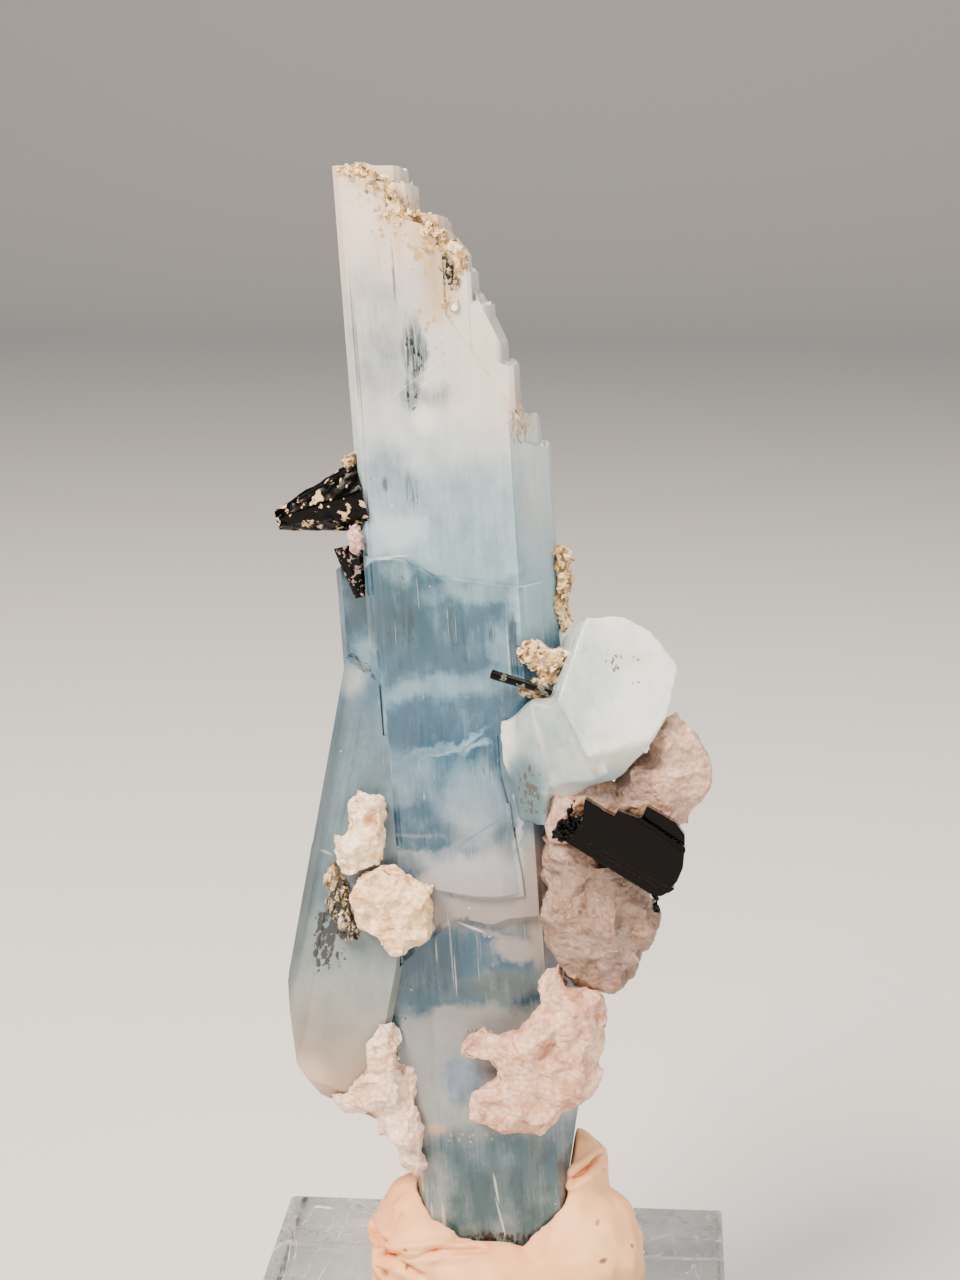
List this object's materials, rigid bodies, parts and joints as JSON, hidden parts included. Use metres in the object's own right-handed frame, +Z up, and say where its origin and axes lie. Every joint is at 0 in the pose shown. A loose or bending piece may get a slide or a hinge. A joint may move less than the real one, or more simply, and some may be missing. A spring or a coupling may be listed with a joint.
{
  "type": "aquamarine crystal specimen on a display block",
  "caption": "Tall stepped aquamarine prism bundle with schorl, feldspar and muscovite, held upright by mineral tack on a clear square block.",
  "frame": {"origin": "middle of the display block's underside", "axes": "+Z up along the specimen's height, -Y towards the specimen's front, +X to its right seen from the front"},
  "size_m": [0.0762, 0.0762, 0.2071],
  "materials": {
    "acrylic": "clear polished acrylic with fine scratches",
    "mineral_tack": "soft cream putty, matte, pressed by fingers",
    "aquamarine": "glossy striated crystal, milky at the top, deeper teal below",
    "pale_beryl": "frosted, milky, faintly green",
    "schorl": "glossy striated black",
    "feldspar": "sugary pinkish white",
    "muscovite": "tan flaky crust with a slight pearl sheen"
  },
  "bodies": {
    "root": {"acrylic_base": "acrylic", "mineral_tack": "mineral_tack", "aquamarine_main": "aquamarine", "aquamarine_left": "aquamarine", "beryl_right": "pale_beryl", "schorl_left": "schorl", "schorl_left_lower": "schorl", "schorl_right": "schorl", "schorl_needle": "schorl", "feldspar_left_top": "feldspar", "feldspar_left_upper": "feldspar", "feldspar_left_lower": "feldspar", "feldspar_bottom_left": "feldspar", "feldspar_right_upper": "feldspar", "feldspar_right_mid": "feldspar", "feldspar_right_lower": "feldspar", "muscovite_top": "muscovite", "muscovite_cap": "muscovite", "muscovite_left": "muscovite", "muscovite_right_edge": "muscovite", "muscovite_middle": "muscovite"}
  },
  "joints": []
}
